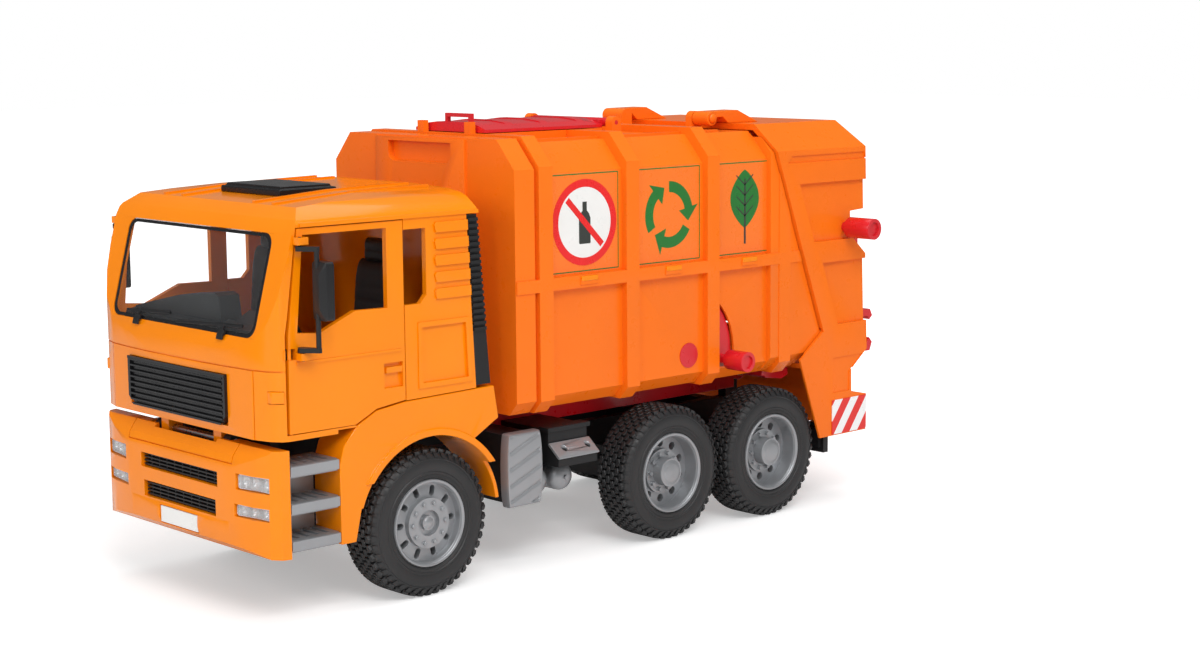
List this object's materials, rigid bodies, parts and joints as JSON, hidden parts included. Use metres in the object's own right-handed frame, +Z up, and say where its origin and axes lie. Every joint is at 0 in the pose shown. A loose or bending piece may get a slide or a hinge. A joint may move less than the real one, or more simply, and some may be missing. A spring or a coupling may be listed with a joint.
{
  "type": "toy refuse truck",
  "caption": "Toy refuse truck with a tilting cab, opening doors, tipping container, roof hatch, packing lever, and a hinged tailgate with a bin lifter.",
  "frame": {"origin": "on the ground, under the middle of the truck's length and width", "axes": "+X forward, towards the cab; +Y to the truck's left; +Z up"},
  "size_m": [0.4398, 0.194, 0.2307],
  "materials": {
    "cab_orange": "gloss",
    "body_orange": "satin",
    "red": "satin",
    "black": "satin",
    "black_gloss": "gloss",
    "tyre": "matte",
    "silver": "satin",
    "screen": "gloss",
    "lamp": "gloss",
    "white": "satin",
    "steel": "satin"
  },
  "bodies": {
    "chassis": {"chassis_rails": "black", "cross_members": "black", "axle_blocks": "black", "pivot_pins": "steel", "front_bumper": "cab_orange", "bumper_grille": "black", "lamp_left": "lamp", "lamp_right": "lamp", "licence_plate": "white", "steps_left": "silver", "steps_right": "silver", "fender_left": "cab_orange", "fender_right": "cab_orange", "engine": "black", "silencer_casing": "black", "silencer_cover": "silver", "fuel_tank": "silver", "tool_boxes": "black", "tread_plates": "silver", "air_tanks": "silver", "rear_beam": "black"},
    "cab": {"cab_shell": "cab_orange", "cab_grille": "black_gloss", "windscreen": "screen", "dashboard": "black", "steering_wheel": "black", "seat_left": "black", "seat_right": "black", "sun_hatch": "black_gloss", "side_strips": "black", "wipers": "black"},
    "door_l": {"door_left": "cab_orange"},
    "door_r": {"door_right": "cab_orange"},
    "mirror_l": {"mirror_left": "black"},
    "mirror_r": {"mirror_right": "black"},
    "container": {"container_shell": "body_orange", "subframe": "red"},
    "hatch": {"hatch_lid": "red"},
    "press": {"press_lever": "red", "press_plate": "red"},
    "tailgate": {"tailgate_shell": "body_orange", "hinge_arms": "body_orange", "warning_boards": "white"},
    "lifter": {"lifter_shaft": "red", "lifter_hooks": "red"},
    "front_wheels": {"axle_front": "steel", "tyre_front_left": "tyre", "rim_front_left": "silver", "tyre_front_right": "tyre", "rim_front_right": "silver"},
    "middle_wheels": {"axle_middle": "steel", "tyre_middle_left": "tyre", "rim_middle_left": "silver", "tyre_middle_right": "tyre", "rim_middle_right": "silver"},
    "rear_wheels": {"axle_rear": "steel", "tyre_rear_left": "tyre", "rim_rear_left": "silver", "tyre_rear_right": "tyre", "rim_rear_right": "silver"}
  },
  "joints": [
    {"name": "front_axle_spin", "type": "hinge", "parent": "chassis", "child": "front_wheels", "pos_m": [0.1248, 0, 0.0365], "axis": [0, 1, 0], "continuous": true},
    {"name": "middle_axle_spin", "type": "hinge", "parent": "chassis", "child": "middle_wheels", "pos_m": [-0.0414, 0, 0.0365], "axis": [0, 1, 0], "continuous": true},
    {"name": "rear_axle_spin", "type": "hinge", "parent": "chassis", "child": "rear_wheels", "pos_m": [-0.1209, 0, 0.0365], "axis": [0, 1, 0], "continuous": true},
    {"name": "cab_tilt", "type": "hinge", "parent": "chassis", "child": "cab", "pos_m": [0.207, 0, 0.082], "axis": [0, 1, 0], "range_deg": [0, 38]},
    {"name": "door_left_swing", "type": "hinge", "parent": "cab", "child": "door_l", "pos_m": [0.2048, 0.0755, 0.129], "axis": [0, 0, -1], "range_deg": [0, 50]},
    {"name": "door_right_swing", "type": "hinge", "parent": "cab", "child": "door_r", "pos_m": [0.2048, -0.0755, 0.129], "axis": [0, 0, 1], "range_deg": [0, 50]},
    {"name": "mirror_left_fold", "type": "hinge", "parent": "door_l", "child": "mirror_l", "pos_m": [0.2005, 0.0802, 0.15], "axis": [0, 0, 1], "range_deg": [-50, 22]},
    {"name": "mirror_right_fold", "type": "hinge", "parent": "door_r", "child": "mirror_r", "pos_m": [0.2005, -0.0802, 0.15], "axis": [0, 0, -1], "range_deg": [-50, 22]},
    {"name": "container_tip", "type": "hinge", "parent": "chassis", "child": "container", "pos_m": [-0.143, 0, 0.075], "axis": [0, -1, 0], "range_deg": [0, 26]},
    {"name": "hatch_lift", "type": "hinge", "parent": "container", "child": "hatch", "pos_m": [-0.038, 0, 0.224], "axis": [0, -1, 0], "range_deg": [0, 80]},
    {"name": "press_swing", "type": "hinge", "parent": "container", "child": "press", "pos_m": [-0.0572, 0, 0.0986], "axis": [0, 1, 0], "range_deg": [0, 42]},
    {"name": "tailgate_lift", "type": "hinge", "parent": "container", "child": "tailgate", "pos_m": [-0.105, 0, 0.224], "axis": [0, 1, 0], "range_deg": [0, 65]},
    {"name": "lifter_turn", "type": "hinge", "parent": "tailgate", "child": "lifter", "pos_m": [-0.182, 0, 0.16], "axis": [0, 1, 0], "range_deg": [0, 75]}
  ]
}
